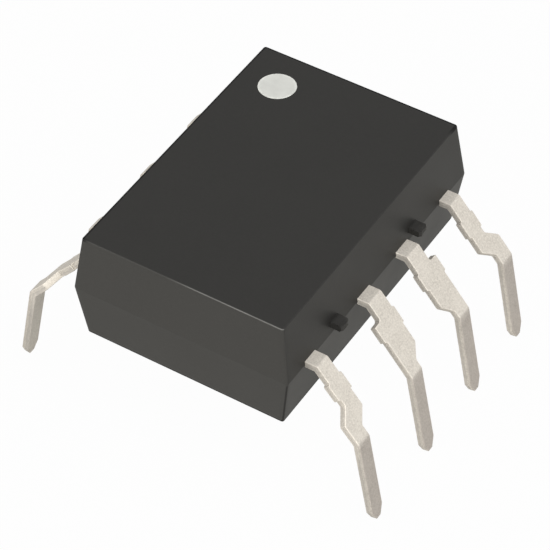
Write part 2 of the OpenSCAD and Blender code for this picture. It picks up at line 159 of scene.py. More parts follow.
class CouplerCase(bpy.types.PropertyGroup):
    """Sizes of the moulded case."""

    half_length: length("Half length", CASE_HIGH.y / MM, "Half the length at the parting line")
    half_width: length("Half width", 3.24, "Half the width at the parting line")
    end_draft: slant("End draft", 5.47, "Draft of the end walls")
    side_draft: slant("Side draft", 7.73, "Draft of the long walls")
    parting: length("Parting", 0.012, "Half the height of the blunt line where the mould halves met")
    edge_radius: length("Edge radius", 0.035, "Rounding of the case's edges")
    corner_radius: length("Corner radius", 0.07, "Rounding of the upright corners")
    tab_width: length("Tab width", 0.36, "Width of the resin tabs")
    tab_low: length("Tab underside", 0.185, "Height of the tabs' undersides above the sheet's middle")
    tab_high: length("Tab top", 0.385, "Height of the tabs' tops above the sheet's middle")
    tab_reach: length("Tab reach", 0.32, "How far the resin tabs stand out")
    tab_spacing: length("Tab spacing", 3.98, "Distance between the resin tabs of one side")
    tab_shift: length("Tab shift", 0.25, "How far the resin tabs lie towards the far end from the dot")
    dot_rim: length("Dot rim", 0.008, "Rounding of the index dot's rim")
    dot_short: share("Dot, short way", 0.948, "Breadth of the printed dot against its length", 0.8, 1.0)
    dot_turn: slant("Dot turn", -58.065, "Direction in which the dot is printed short, from +X")
    dot_drift: length("Dot drift", 0.033, "How far the dot is printed off its place, against that direction")


class CouplerFinish(bpy.types.PropertyGroup):
    """Colours of the finishes."""

    resin: colour("Resin", (0.0160, 0.0155, 0.0142), "Dark moulded epoxy")
    resin_light: colour("Resin, light", (0.0235, 0.0228, 0.0208), "Paler filler in the dark epoxy")
    broken: colour("Broken resin", (0.019, 0.0182, 0.0166), "Resin broken off at the tabs")
    ink: colour("Ink", (0.635, 0.64, 0.605), "Marking ink of the index dot")
    plate: colour("Plate", (0.74, 0.7, 0.636), "Matt tin plate")
    plate_dark: colour("Plate, dark", (0.515, 0.479, 0.428), "Grain and handling marks in the tin plate")
    sheared: colour("Sheared edge", (0.54, 0.51, 0.47), "Rough part of the stamped edges")
    # Painted light and shade on the plate: a lift by the case and on the pins' inner faces, and shade on the
    # pins' outer faces
    clean: share("Clean plate", 1.01, "Brightness by the case", 0.0, 1.3)
    dull: colour("Dull plate", (0.727, 0.707, 0.708), "Tint of the handled pins")
    # Painted light on the case: paler end walls and a highlight on one top edge
    end_wall_painted_light: share("End wall painted light", 1.9, "Paler lighting of the end walls", 1.0, 3.0)
    rubbed: colour("Rubbed edge", (0.15, 0.148, 0.14), "Top edge rubbed pale at the corner by lead 5")
    guide: colour("Guide", (0.78, 0.75, 0.68), "White inner moulding")
    gold: colour("Gold", (0.86, 0.61, 0.24), "Bond wires")


class CouplerStage(bpy.types.PropertyGroup):
    """Floor, light and camera."""

    floor: colour("Floor", (0.5, 0.5, 0.5), "Light that the floor gives back")
    white: colour("Backdrop", (1.0, 1.0, 1.0), "White backdrop")
    glow: share("Glow", 0.3, "Even light from all round", 0.0, 1.0)
    azimuth: slant("Azimuth", 31.9352, "Direction the camera looks in, from +Y")
    elevation: slant("Elevation", 45.7486, "Height of the camera above the horizon")
    distance: length("Distance", 71.74, "Distance of the camera")
    aim_right: length("Aim, right", 0.0364, "How far right of the lead sheet's middle the camera aims")
    aim_down: length("Aim, down", 1.2276, "How far below the lead sheet's middle the camera aims")
    lens: FloatProperty(
        name="Lens", description="Focal length", default=178.41, min=1.0, subtype="DISTANCE_CAMERA")


SETTINGS = {
    "coupler_sheet": CouplerSheet,
    "coupler_case": CouplerCase,
    "coupler_finish": CouplerFinish,
    "coupler_stage": CouplerStage,
}


def sheet_middle(sheet):
    """Height of the lead sheet's middle, where the halves of the mould part."""
    return SHEET_TOP - sheet.thickness / 2


# ------------------------ helpers for node trees

class Net:
    """Short ways to add and link the nodes of one tree."""

    def __init__(self, tree):
        self.tree = tree

    def add(self, kind, ins=(), **settings):
        """Adds a node, sets its properties, and links or sets the given inputs."""
        node = self.tree.nodes.new(kind)
        for name, value in settings.items():
            setattr(node, name, value)
        for key, value in dict(ins).items():
            self.give(node.inputs[key], value)
        return node

    def give(self, socket, value):
        """Links a socket to another, or sets it to a constant."""
        if isinstance(value, bpy.types.NodeSocket):
            self.tree.links.new(value, socket)
        else:
            socket.default_value = value

    def maths(self, operation, *values, clamp=False):
        """One step of maths."""
        ins = dict(enumerate(values))
        return self.add("ShaderNodeMath", ins, operation=operation, use_clamp=clamp).outputs[0]

    def times(self, value, *others):
        """Multiplies values, from the first to the last."""
        for other in others:
            value = self.maths("MULTIPLY", value, other)
        return value

    def plus(self, value, other):
        return self.maths("ADD", value, other)

    def minus(self, value, other):
        return self.maths("SUBTRACT", value, other)

    def most(self, value, other):
        return self.maths("MAXIMUM", value, other)

    def parts(self, vector):
        """The X, Y and Z of a vector."""
        return self.add("ShaderNodeSeparateXYZ", {"Vector": vector}).outputs

    def attribute(self, name):
        """A number that the mesh holds at each point."""
        return self.add("ShaderNodeAttribute", attribute_type="GEOMETRY", attribute_name=name).outputs["Fac"]

    def blend(self, factor, low, high, kind="MIX"):
        """Mixes two colours."""
        ins = {0: factor, 6: low, 7: high}
        return self.add("ShaderNodeMix", ins, data_type="RGBA", blend_type=kind).outputs[2]

    def span(self, value, low, high, to_low=0.0, to_high=1.0):
        """Maps a value from one range to another, and stops at its ends."""
        return self.add("ShaderNodeMapRange", {
            "Value": value, "From Min": low, "From Max": high, "To Min": to_low, "To Max": to_high,
        }).outputs[0]

    def noise(self, vector, scale, detail=2.0, rough=0.5):
        return self.add("ShaderNodeTexNoise", {
            "Vector": vector, "Scale": scale, "Detail": detail, "Roughness": rough}).outputs["Fac"]

    def group(self, build, **values):
        """Places a node group, with underscores for the spaces in its inputs' names. Returns its outputs."""
        node = self.add(self.tree.bl_idname.replace("Tree", "Group"), node_tree=shared(build))
        for label, value in values.items():
            self.give(node.inputs[label.replace("_", " ")], value)
        return node.outputs


class Finish(Net):
    """The nodes of a new material: its shader, its Object coordinates and its surface grain,
    as a fine mask, a cloud mask and a height."""

    def __init__(self, name, fine, coarse, contrast):
        self.material = bpy.data.materials.new(name)
        self.material.use_nodes = True
        super().__init__(self.material.node_tree)
        self.shader = self.tree.nodes["Principled BSDF"]
        self.place = self.add("ShaderNodeTexCoord").outputs["Object"]
        self.fine, self.cloud, self.height = self.group(
            surface_grain, Vector=self.place, Fine=fine, Coarse=coarse, Contrast=contrast)

    def wear(self, scale, amount, **more):
        """A mask along the mesh's edges: wear on the ink and the plate, and painted shade and painted
        highlights on the case.
        """
        return self.group(edge_wear_and_light, Vector=self.place, Scale=scale, Amount=amount, **more)["Mask"]

    def facing(self):
        """The X, Y and Z of the direction that the surface faces."""
        return self.parts(self.add("ShaderNodeNewGeometry").outputs["Normal"])

    def bump(self, height, strength, depth):
        """Relief, with its depth in millimetres."""
        ins = {"Height": height, "Strength": strength, "Distance": depth * MM}
        return self.add("ShaderNodeBump", ins).outputs["Normal"]

    def dress(self, **values):
        """Links or sets the shader's inputs, with underscores for spaces, and returns the material."""
        for name, value in values.items():
            self.give(self.shader.inputs[name.replace("_", " ")], value)
        return self.material


def shared(build):
    """The node group that a function builds, kept under the function's own name."""
    name = build.__name__.replace("_", " ").capitalize()
    return bpy.data.node_groups.get(name) or build(name)


def new_group(name, kind, inputs, outputs):
    """A node group with named sockets: returns its Net, its inputs and the sockets of its output node.
    An input is given by the kind of its socket, or by the number that it starts with."""
    tree = bpy.data.node_groups.new(name, kind)
    for label, value in inputs.items():
        number = isinstance(value, float)
        made = tree.interface.new_socket(
            name=label, in_out="INPUT", socket_type="NodeSocket" + ("Float" if number else value))
        if number:
            made.default_value = value
    for label, value in outputs.items():
        tree.interface.new_socket(name=label, in_out="OUTPUT", socket_type="NodeSocket" + value)
    net = Net(tree)
    return net, net.add("NodeGroupInput").outputs, net.add("NodeGroupOutput").inputs


def rgb(value, factor=1.0, most=10.0):
    """A colour for a socket, made lighter or darker by a factor."""
    return (*(min(part * factor, most) for part in value), 1.0)


# ------------------------ effects that several finishes share

def surface_grain(name):
    """Grain of a moulded, plated or printed surface: a fine and a coarse pattern."""
    net, start, end = new_group(
        name, "ShaderNodeTree", {"Vector": "Vector", "Fine": 20000.0, "Coarse": 900.0, "Contrast": 1.0},
        {"Fine mask": "Float", "Cloud mask": "Float", "Height": "Float"})
    fine = net.noise(start["Vector"], start["Fine"], 3.0, 0.6)
    cloud = net.noise(start["Vector"], start["Coarse"], 4.0, 0.55)
    centred = net.times(net.minus(fine, 0.5), start["Contrast"])
    net.give(end["Fine mask"], net.maths("ADD", centred, 0.5, clamp=True))
    net.give(end["Cloud mask"], net.span(cloud, 0.3, 0.7))
    net.give(end["Height"], net.plus(fine, net.times(cloud, 0.35)))
    return net.tree


def edge_wear_and_light(name):
    """Wear, painted shade and painted highlights along edges: the mesh's edge attribute, broken up by noise.
    """
    net, start, end = new_group(
        name, "ShaderNodeTree",
        {"Vector": "Vector", "Scale": 3000.0, "Amount": 0.5, "Evenness": 0.25, "Start": 0.0},
        {"Mask": "Float"})
    near = net.span(net.attribute("edge"), start["Start"], 1.0)
    patchy = net.span(net.noise(start["Vector"], start["Scale"], 3.0), 0.35, 0.65, start["Evenness"], 1.0)
    net.give(end["Mask"], net.maths("MULTIPLY", net.times(near, patchy), start["Amount"], clamp=True))
    return net.tree


# ------------------------ finishes

# The scales of all patterns are per metre, so that 20000 gives a grain of about 0.05 mm

def resin_finish(name, dark, light, fine, relief, rough):
    """Filled epoxy as it leaves the mould: spark-eroded grain and faint flow clouds."""
    net = Finish(name, fine, coarse=420.0, contrast=1.5)
    speck = net.span(net.noise(net.place, 52000.0, 1.0), 0.62, 0.74)
    base = net.blend(net.times(net.fine, 0.55), rgb(dark), rgb(light))
    base = net.blend(net.times(net.cloud, 0.25), base, rgb(light))
    base = net.blend(net.times(speck, 0.12), base, rgb(light, 2.2))
    net.dress(Base_Color=base, Roughness=net.span(net.cloud, 0.0, 1.0, rough - 0.03, rough + 0.04),
              Normal=net.bump(net.height, relief, 0.004), IOR=1.5, Specular_IOR_Level=0.32)
    return net


def case_finish(finish, case, height):
    """The case's resin, with painted light that makes the end walls paler, painted shade in dark lines along
    the far and lower edges, and a painted highlight on one top edge.
    """
    net = resin_finish(
        "case_resin", finish.resin, finish.resin_light, fine=15000.0, relief=0.3, rough=0.5)
    base, rough = (net.shader.inputs[name].links[0].from_socket for name in ("Base Color", "Roughness"))
    x, y, z = net.parts(net.place)
    _, facing_y, facing_z = net.facing()
    level = net.minus(z, height)

    # Painted light: faces turned to the ends are made paler, less so below the parting line
    end_wall = net.span(net.maths("ABSOLUTE", facing_y), 0.15, 0.6)
    upper_half = net.span(level, -0.02 * MM, 0.02 * MM, 0.8, 1.0)
    base = net.blend(net.times(end_wall, upper_half), base, rgb((finish.end_wall_painted_light,) * 3), "MULTIPLY")

    # Painted shade: dark lines along the edges of the far sides and along the edges below the parting line,
    # which are also made rougher
    far = net.most(net.times(x, -1 / case.half_width), net.times(y, 1 / case.half_length))
    far_side = net.span(far, 0.86, 0.92)
    below_line = net.span(level, 0.0, -0.1 * MM, 0.0, 0.6)
    dark = net.times(net.most(far_side, below_line), net.wear(2600.0, 2.0, Evenness=0.8, Start=0.62))
    base = net.blend(dark, base, rgb(finish.resin, 0.1))

    # Painted highlight: a pale line along the near top edge, strongest towards lead 5
    near_end = net.span(facing_y, -0.2, -0.4)
    top_edge = net.times(net.span(facing_z, 0.25, 0.4), net.span(facing_z, 0.97, 0.85))
    lead_5_side = net.span(x, -0.5 * MM, 0.5 * MM)
    rubbed = net.times(near_end, top_edge, lead_5_side, net.wear(2600.0, 1.0, Evenness=0.7, Start=0.9))
    return net.dress(Base_Color=net.blend(rubbed, base, rgb(finish.rubbed)),
                     Roughness=net.maths("MULTIPLY_ADD", dark, 0.35, rough))


def ink_finish(finish):
    """Pale marking ink, a little thicker and brighter towards its rim."""
    net = Finish("dot_ink", fine=17000.0, coarse=2400.0, contrast=1.2)
    base = net.blend(net.cloud, rgb(finish.ink, 0.86), rgb(finish.ink))
    base = net.blend(net.times(net.fine, 0.3), base, rgb(finish.ink, 0.94))
    base = net.blend(net.wear(5200.0, 0.9), base, rgb(finish.ink, 1.12, 0.9))
    return net.dress(Base_Color=base, Roughness=net.span(net.cloud, 0.0, 1.0, 0.5, 0.62),
                     Normal=net.bump(net.height, 0.25, 0.004), Specular_IOR_Level=0.4)


def plate_finish(finish, sheet):
    """Matt tin plate over stamped copper alloy, with burnished and torn bands on the sheared edges. Painted
    light lifts it a little by the case and on the pins' inner faces, and painted shade darkens the pins'
    outer faces."""
    net = Finish("tin_plate", fine=21000.0, coarse=2300.0, contrast=2.2)
    x, y, _ = net.parts(net.place)
    facing_x, _, facing_z = net.facing()

    # The mesh's depth runs from 0 on a lead's outer face to 1 on its inner face
    depth = net.attribute("depth")
    side = net.times(net.span(depth, 0.08, 0.14), net.minus(1.0, net.span(depth, 0.95, 0.98)))
    ragged = net.plus(depth, net.span(net.noise(net.place, 6500.0, 3.0), 0.3, 0.7, -0.1, 0.1))
    torn = net.times(net.span(ragged, 0.44, 0.52), side)
    base = net.blend(net.fine, rgb(finish.plate_dark), rgb(finish.plate))
    base = net.blend(net.times(net.cloud, 0.45), base, rgb(finish.plate))
    base = net.blend(net.times(torn, 0.75), base, rgb(finish.sheared))
    base = net.blend(net.wear(7000.0, 0.55), base, rgb(finish.plate, 1.25, 0.95))

    # Stretches along a lead: by the case, then the slope, then the pin
    across = net.maths("ABSOLUTE", x)
    case_end = net.span(across, sheet.upper_bend - 0.03 * MM, sheet.upper_bend + 0.03 * MM, 1.0, 0.0)
    pin = net.span(across, sheet.lower_bend - 0.04 * MM, sheet.lower_bend + 0.04 * MM)
    outward = net.span(net.times(facing_x, net.maths("SIGN", x)), -0.3, 0.3)

    # Painted light: sheared faces that look up are made paler, and those of the pins get paler towards the
    # dot's end and darker towards the other end, standing in for lamp light that falls unevenly on the leads
    upward = net.plus(net.times(facing_x, 0.6), net.times(facing_z, 0.8))
    base = net.blend(net.times(side, net.span(upward, 0.35, 0.65)), base, rgb(finish.plate, 1.12, 0.95))
    gain_per_metre = 35.0
    tone = net.maths("MULTIPLY_ADD", y, gain_per_metre, 1.0)
    tone = net.add("ShaderNodeCombineColor", dict.fromkeys(range(3), tone)).outputs[0]
    base = net.blend(net.times(side, pin), base, tone, "MULTIPLY")

    # Painted light and shade: a lift by the case and on the pins' inner faces, and a darker tint on the
    # pins' outer faces, less on their sheared edges
    clean = net.most(case_end, net.times(pin, net.minus(1.0, outward)))
    shade_painted = net.times(pin, outward, net.maths("MULTIPLY_ADD", side, -0.8, 1.0))
    base = net.blend(clean, base, rgb((finish.clean,) * 3), "MULTIPLY")
    base = net.blend(shade_painted, base, rgb(finish.dull), "MULTIPLY")
    rough = net.plus(net.span(net.fine, 0.0, 1.0, 0.78, 0.68), net.times(torn, 0.1))
    pits = net.plus(net.height, net.times(torn, net.noise(net.place, 30000.0, 2.0)))
    return net.dress(Base_Color=base, Metallic=0.6, Roughness=rough, Normal=net.bump(pits, 0.45, 0.006))


def metal_finish(name, light, dark, rough, fine):
    """Drawn wire or cast paste: fine grain in colour, gloss and relief."""
    net = Finish(name, fine, coarse=fine / 9, contrast=1.4)
    return net.dress(
        Base_Color=net.blend(net.fine, rgb(dark), rgb(light)), Metallic=1.0,
        Roughness=net.span(net.cloud, 0.0, 1.0, rough - 0.06, rough + 0.08),
        Normal=net.bump(net.height, 0.2, 0.002))


def guide_finish(finish):
    """White epoxy that lets light through, with faint clouds of filler."""
    net = Finish("guide_resin", fine=16000.0, coarse=700.0, contrast=1.0)
    return net.dress(
        Base_Color=net.blend(net.cloud, rgb(finish.guide, 0.93), rgb(finish.guide)),
        Roughness=net.span(net.fine, 0.0, 1.0, 0.42, 0.55), Normal=net.bump(net.height, 0.15, 0.004),
        Subsurface_Weight=0.35, Subsurface_Radius=(1.0, 0.8, 0.6), Subsurface_Scale=0.4 * MM)


def die_finish(name, body, pattern, cell):
    """Sawn and polished semiconductor: blocks of circuit, with a size in metres, on a plain body."""
    net = Finish(name, fine=26000.0, coarse=3000.0, contrast=1.0)
    blocks, gaps = net.add("ShaderNodeTexBrick", {
        "Vector": net.place, "Color1": rgb(body), "Color2": rgb(pattern), "Mortar": rgb(body, 0.5),
        "Scale": 1.0, "Mortar Size": cell * 0.06, "Brick Width": cell, "Row Height": cell * 0.6}).outputs
    return net.dress(
        Base_Color=net.blend(net.times(net.cloud, 0.3), blocks, rgb(pattern)), Metallic=0.35,
        Roughness=net.span(net.fine, 0.0, 1.0, 0.18, 0.3), Normal=net.bump(gaps, 0.2, 0.002))


def gel_finish():
    """Clear silicone with a trace of haze."""
    net = Finish("clear_gel", fine=9000.0, coarse=2500.0, contrast=1.0)
    return net.dress(
        Base_Color=net.blend(net.cloud, rgb((0.86, 0.9, 0.9)), rgb((0.94, 0.96, 0.95))),
        Transmission_Weight=1.0, IOR=1.41, Roughness=net.span(net.fine, 0.0, 1.0, 0.04, 0.12),
        Normal=net.bump(net.height, 0.1, 0.002))


# ------------------------ helpers for meshes

def new_object(name, mesh):
    made = bpy.data.objects.new(name, mesh)
    bpy.context.scene.collection.objects.link(made)
    return made


def plain_mesh(name, source, *tools):
    """The evaluated object as a mesh of its own. The object and its tools are thrown away."""
    graph = bpy.context.evaluated_depsgraph_get()
    made = bpy.data.meshes.new_from_object(source.evaluated_get(graph))
    source.modifiers.clear()
    for old in (source, *tools):
        mesh = old.data
        bpy.data.objects.remove(old)
        bpy.data.meshes.remove(mesh)
    made.name = name
    return made


def mesh_of(net, name):
    mesh = bpy.data.meshes.new(name)
    net.to_mesh(mesh)
    net.free()
    return mesh


def take_in(net, mesh):
    """Adds a mesh to a bmesh and throws it away."""
    net.from_mesh(mesh)
    bpy.data.meshes.remove(mesh)


def smooth(mesh, degrees, *levels):
    """Smooth shading that leaves large faces flat, with sharp edges above an angle and at given heights."""
    same_level = 0.002 * MM
    mesh.polygons.foreach_set("use_smooth", [True] * len(mesh.polygons))
    mesh.set_sharp_from_angle(angle=math.radians(degrees))
    for edge in mesh.edges:
        ends = [mesh.vertices[i].co.z for i in edge.vertices]
        if any(max(abs(z - level) for z in ends) < same_level for level in levels):
            edge.use_edge_sharp = True
    body = new_object("body", mesh)
    step = body.modifiers.new("Flat faces", "WEIGHTED_NORMAL")
    step.keep_sharp, step.weight = True, 80
    return plain_mesh(mesh.name, body)


def combine(mesh, other, operation):
    """Adds another closed mesh to this one or cuts it away, and returns the new mesh."""
    body, tool = new_object("body", mesh), new_object("tool", other)
    step = body.modifiers.new("Combine", "BOOLEAN")
    step.operation, step.object, step.solver = operation, tool, "EXACT"
    return plain_mesh("combined", body, tool)


def finish_piece(name, mesh, slot, *stands_for):
    """Hands a finished piece to the frame."""
    piece = new_object(name, mesh)
    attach(piece, "root")
    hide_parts(*stands_for)


def rounded(corners):
    """The points of a closed outline of (x, y, radius) corners, each turned by an arc of short steps."""
    points, count = [], len(corners)
    for i, (x, y, radius) in enumerate(corners):
        here = Vector((x, y))
        if radius <= 0:
            points.append(here)
            continue
        to_last = (Vector(corners[i - 1][:2]) - here).normalized()
        to_next = (Vector(corners[(i + 1) % count][:2]) - here).normalized()
        half = math.acos(max(-1.0, min(1.0, to_last.dot(to_next)))) / 2
        centre = here + (to_last + to_next).normalized() * radius / math.sin(half)
        first = here + to_last * radius / math.tan(half) - centre
        turn = to_last.x * to_next.y - to_last.y * to_next.x
        sweep = (math.pi - 2 * half) * (1 if turn < 0 else -1)
        start = math.atan2(first.y, first.x)
        for k in range(ARC_STEPS + 1):
            angle = start + sweep * k / ARC_STEPS
            points.append(centre + radius * Vector((math.cos(angle), math.sin(angle))))
    return points


def shrunk(points, amount):
    """A closed anticlockwise outline moved inwards, with mitred corners."""
    moved, count = [], len(points)
    for i, here in enumerate(points):
        before = (here - points[i - 1]).normalized()
        after = (points[(i + 1) % count] - here).normalized()
        left_before = Vector((-before.y, before.x))
        left_after = Vector((-after.y, after.x))
        moved.append(here + (left_before + left_after) * amount / (1 + left_before.dot(left_after)))
    return moved


def round_over(radius, turns):
    """The insets and drops of a rounded edge, from its foot towards its top, at turns in degrees."""
    angles = [math.radians(turn) for turn in turns]
    return [(radius * (1 - math.cos(angle)), radius * (1 - math.sin(angle))) for angle in angles]


def stack(rings, **layers):
    """A closed bmesh from rings of points, from the lowest to the highest, with flat ends.
    Each layer has one value for each ring."""
    net = bmesh.new()
    kept = [(net.verts.layers.float.new(name), values) for name, values in layers.items()]
    rows = [[net.verts.new(point) for point in ring] for ring in rings]
    for layer, values in kept:
        for row, value in zip(rows, values):
            for vertex in row:
                vertex[layer] = value
    for low, high in zip(rows, rows[1:]):
        for i in range(len(low)):
            j = (i + 1) % len(low)
            net.faces.new((low[i], low[j], high[j], high[i]))
    net.faces.new(reversed(rows[0]))
    net.faces.new(rows[-1])
    return net


def cut_across(net, place, unit, side=1, **more):
    """Cuts a bmesh, whose unit is given in metres, at a place along X."""
    return bmesh.ops.bisect_plane(
        net, geom=[*net.verts, *net.edges, *net.faces], dist=TOUCH / unit,
        plane_co=(place, 0, 0), plane_no=(side, 0, 0), **more)["geom_cut"]


# ------------------------ the case

def wall_at(depth, half, draft, end, parting, radius):
    """Half width of a drafted moulding some way from its parting line, with a rounded edge at its end."""
    centre = end - radius
    if depth > centre + radius * math.sin(draft):
        face = half - (end - parting) * math.tan(draft) - radius * math.tan((math.pi / 2 - draft) / 2)
        return face + math.sqrt(max(0.0, radius ** 2 - (depth - centre) ** 2))
    return half - max(0.0, depth - parting) * math.tan(draft)


def moulding(half_x, half_y, up, down, parting, side_draft, end_draft, radius, corner):
    """A drafted block in millimetres, its parting line at z 0, as a stack of rounded rectangles."""
    support, least_corner = 0.12, 0.012

    def ring(z, inset=0.0):
        end = up if z > 0 else down
        x, y = (wall_at(abs(z), half, draft, end, parting, radius)
                for half, draft in ((half_x, side_draft), (half_y, end_draft)))
        drop = (half_x - (abs(z) - parting) * math.tan(side_draft)) - x if abs(z) > end - radius else 0.0
        turn = least_corner if inset else max(corner - drop, least_corner)
        return rectangle(x - inset, y - inset, turn, support, z)

    rises = [radius * math.sin(math.radians(turn)) for turn in (10, 24, 38, 52, 66, 80)]
    top = [up - radius - support, *(up - radius + rise for rise in rises), up]
    bottom = [radius + support - down, *(radius - down - rise for rise in rises), -down]
    levels = [*reversed(bottom), -parting - support, -parting, parting, parting + support, *top]
    return stack([ring(-down, support), *(ring(z) for z in levels), ring(up, support)])


def rectangle(x, y, corner, support, z):
    """A ring round a rectangle with rounded corners and a supporting point beside each."""
    ring = []
    for quarter, (sx, sy) in enumerate(((1, 1), (-1, 1), (-1, -1), (1, -1))):
        cx, cy = sx * (x - corner), sy * (y - corner)
        start = quarter * math.pi / 2
        angles = [start + math.pi / 2 * k / ARC_STEPS for k in range(ARC_STEPS + 1)]
        arc = [(cx + corner * math.cos(angle), cy + corner * math.sin(angle)) for angle in angles]
        sine, cosine = math.sin(start) * support, math.cos(start) * support
        before = (arc[0][0] + sine, arc[0][1] - cosine)
        after = (arc[-1][0] - cosine, arc[-1][1] - sine)
        ring += [Vector((*point, z)) for point in (before, *arc, after)]
    return ring


def tab_places(case):
    """The places along Y of the resin tabs, in millimetres."""
    return [(place * case.tab_spacing / 2 - case.tab_shift) / MM for place in (1, -1)]


def tab_mesh(case):
    """The four resin tabs, in millimetres: small ledges above the parting line, uneven where they broke."""
    # A tab is rooted in the wall, and its free end sags
    root, free, sag = 0.15, 0.1, 0.01
    # From where it leaves the wall it gets uneven, by up to a wobble in X, Y and Z
    firm, loosening, ripple, wobble = 0.12, 0.15, 9.0, (-0.05, 0.02, 0.018)
    # The rim of its free end is rounded off, over the outer part of its width and height
    rim_width, rim_share, rim_depth = 0.02, 0.8, 0.035
    noise.seed_set(TAB_SEED)
    low, high = case.tab_low / MM, case.tab_high / MM
    inner, outer = case.half_width / MM - root, (case.half_width + case.tab_reach) / MM
    size = Vector((outer - inner, case.tab_width / MM, high - low))
    net = bmesh.new()
    for side in (1, -1):
        for y in tab_places(case):
            centre = Vector((side * (inner + outer) / 2, y, (low + high) / 2))
            matrix = Matrix.Translation(centre) @ Matrix.Diagonal((*size, 1))
            block = bmesh.ops.create_cube(net, size=1.0, matrix=matrix)["verts"]
            for vertex in block:
                if abs(vertex.co.x) > inner + free and vertex.co.z > centre.z:
                    vertex.co.z -= sag
            edges = list(dict.fromkeys(edge for vertex in block for edge in vertex.link_edges))
            bmesh.ops.subdivide_edges(net, edges=edges, cuts=5, use_grid_fill=True)
    for vertex in net.verts:
        x, y, z = vertex.co
        out = max(0.0, min(1.0, (abs(x) - inner - firm) / loosening))
        noises = noise.noise_vector(Vector((x, y, z)) * ripple)
        pull = Vector((abs(noises.x) * wobble[0] * math.copysign(1, x), noises.y * wobble[1],
                       noises.z * wobble[2]))
        vertex.co += pull * out
        middle = min(tab_places(case), key=lambda place: abs(place - y))
        for place, centre, half in ((vertex.co.y, middle, case.tab_width / 2 / MM),
                                    (vertex.co.z, (low + high) / 2, (high - low) / 2)):
            share_out = abs(place - centre) / half
            if share_out > rim_share and abs(x) > outer - rim_width:
                vertex.co.x -= math.copysign(rim_depth * (share_out - rim_share) / (1 - rim_share), x)
    bmesh.ops.recalc_face_normals(net, faces=net.faces)
    return mesh_of(net, "tabs")


def merged_copy(node):
    """A CAD node's mesh in millimetres, with its loose triangles joined."""
    weld = 0.0005
    net = bmesh.new()
    net.from_mesh(NODES[node].data)
    bmesh.ops.scale(net, vec=(1 / MM,) * 3, verts=net.verts)
    bmesh.ops.remove_doubles(net, verts=net.verts, dist=weld)
    return net


def side_of(number):
    """The side of the case that a lead stands on, as the sign of its X."""
    return -1 if number <= 4 else 1


def value_at(place, places, values):
    """The value at a place between others, and the first or last value outside them."""
    if place <= places[0]:
        return values[0]
    for low, high, before, after in zip(places, places[1:], values, values[1:]):
        if place < high:
            return before + (after - before) * (place - low) / (high - low)
    return values[-1]


def set_aside(net, sheet, number, unit):
    """Moves a lead along Y and outwards, as it was stamped and knocked, by shares that change along X.
    The lead's own unit is given in metres."""
    neck, pin = sheet.neck_set[number - 1] / unit, sheet.pin_set[number - 1] / unit
    spread = side_of(number) * sheet.spread[number - 1] / unit
    # Places along X, from the seam out to where the pin is back in its row
    seam, wall, upper, pin_start, lower, pin_row = (x / unit for x in (
        sheet.seam, sheet.seam + 0.2 * MM, sheet.upper_bend,
        sheet.lower_bend - 0.1 * MM, sheet.lower_bend, sheet.lower_bend + 0.5 * MM))
    for place in (seam, wall):
        cut_across(net, side_of(number) * place, unit)
    for vertex in net.verts:
        x = abs(vertex.co.x)
        vertex.co.y += value_at(x, (seam, wall, upper, pin_start), (0.0, neck, neck, pin))
        vertex.co.x += value_at(x, (wall, upper, lower, pin_row), (0.0, spread, spread, 0.0))


def mark_edges(mesh, case, height):
    """Writes the edge attribute: 1 on the rounded edges of the case and 0 on its faces."""
    reach, slack = case.edge_radius + 0.012 * MM, 0.001 * MM
    up, down = CASE_HIGH.z - height, height - CASE_LOW.z
    layer = mesh.attributes.new("edge", "FLOAT", "POINT")
    for vertex, value in zip(mesh.vertices, layer.data):
        x, y, z = vertex.co
        z -= height
        depth = max(0.0, abs(z) - case.parting)
        gaps = (up - z if z > 0 else down + z,
                case.half_width - depth * math.tan(case.side_draft) - abs(x),
                case.half_length - depth * math.tan(case.end_draft) - abs(y))
        value.value = 1.0 if sum(-slack < gap < reach for gap in gaps) > 1 else 0.0


def dot_place(case):
    """The printed dot's place and slight out-of-roundness, as a matrix for a disc about the origin."""
    middle = (DOT_LOW + DOT_HIGH) / 2
    short = Vector((math.cos(case.dot_turn), math.sin(case.dot_turn), 0))
    shift = Matrix.Translation(Vector((middle.x, middle.y, 0)) - short * case.dot_drift)
    return shift @ Matrix.Scale(case.dot_short, 4, short)


def dimple_mesh(case, height):
    """The dot's dimple, open far above the case, in millimetres about the sheet's middle."""
    net, depth = bmesh.new(), 1.0 * MM
    bmesh.ops.create_cone(
        net, cap_ends=True, segments=DOT_SIDES, radius1=DOT_RADIUS, radius2=DOT_RADIUS, depth=depth,
        matrix=Matrix.Translation((0, 0, DOT_LOW.z - height + depth / 2)))
    bmesh.ops.transform(net, matrix=Matrix.Scale(1 / MM, 4) @ dot_place(case), verts=net.verts)
    return mesh_of(net, "dimple")


